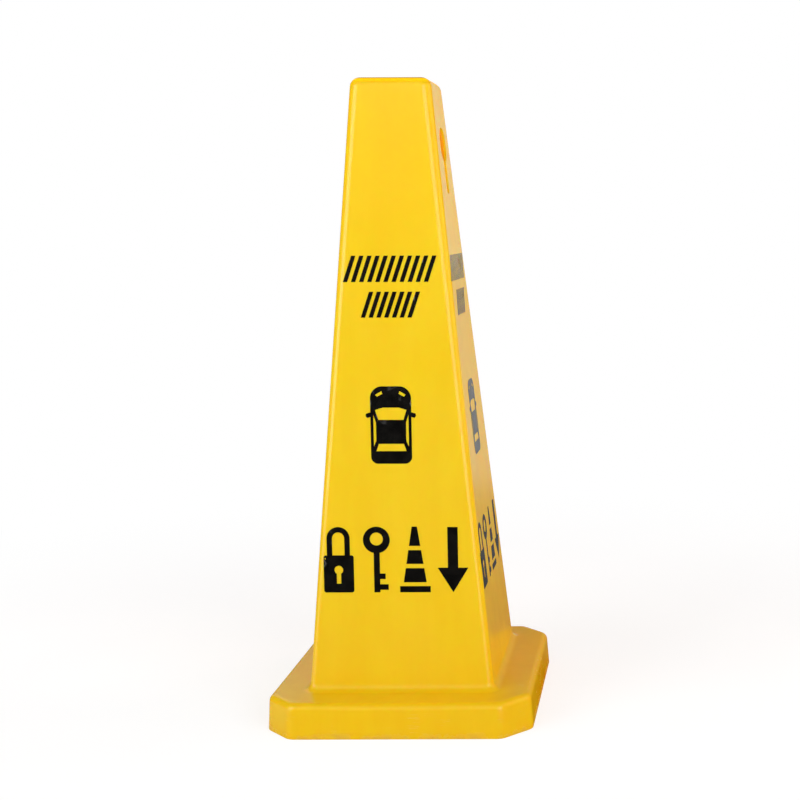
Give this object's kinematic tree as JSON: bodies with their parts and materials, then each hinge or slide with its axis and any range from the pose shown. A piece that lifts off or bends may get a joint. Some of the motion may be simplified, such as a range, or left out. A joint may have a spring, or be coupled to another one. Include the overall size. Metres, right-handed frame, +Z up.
{
  "type": "four-sided parking cone",
  "caption": "Slender square-section traffic cone with a cut-corner flange, keyhole openings near the top and black pictograms on each face; hollow underneath so that it stacks.",
  "frame": {"origin": "centre of the footprint, on the floor", "axes": "+Z up through the tip; the front face looks along -Y; the keyhole openings are in the +X and -X faces"},
  "size_m": [0.275, 0.275, 0.66],
  "materials": {
    "yellow_moulding": "gloss",
    "black_print": "satin"
  },
  "bodies": {
    "root": {"cone_shell": "yellow_moulding", "front_stripe_bands": "black_print", "front_car_symbol": "black_print", "front_pictogram_row": "black_print", "right_stripe_bands": "black_print", "right_car_symbol": "black_print", "right_pictogram_row": "black_print", "back_stripe_bands": "black_print", "back_car_symbol": "black_print", "back_pictogram_row": "black_print", "left_stripe_bands": "black_print", "left_car_symbol": "black_print", "left_pictogram_row": "black_print"}
  },
  "joints": []
}
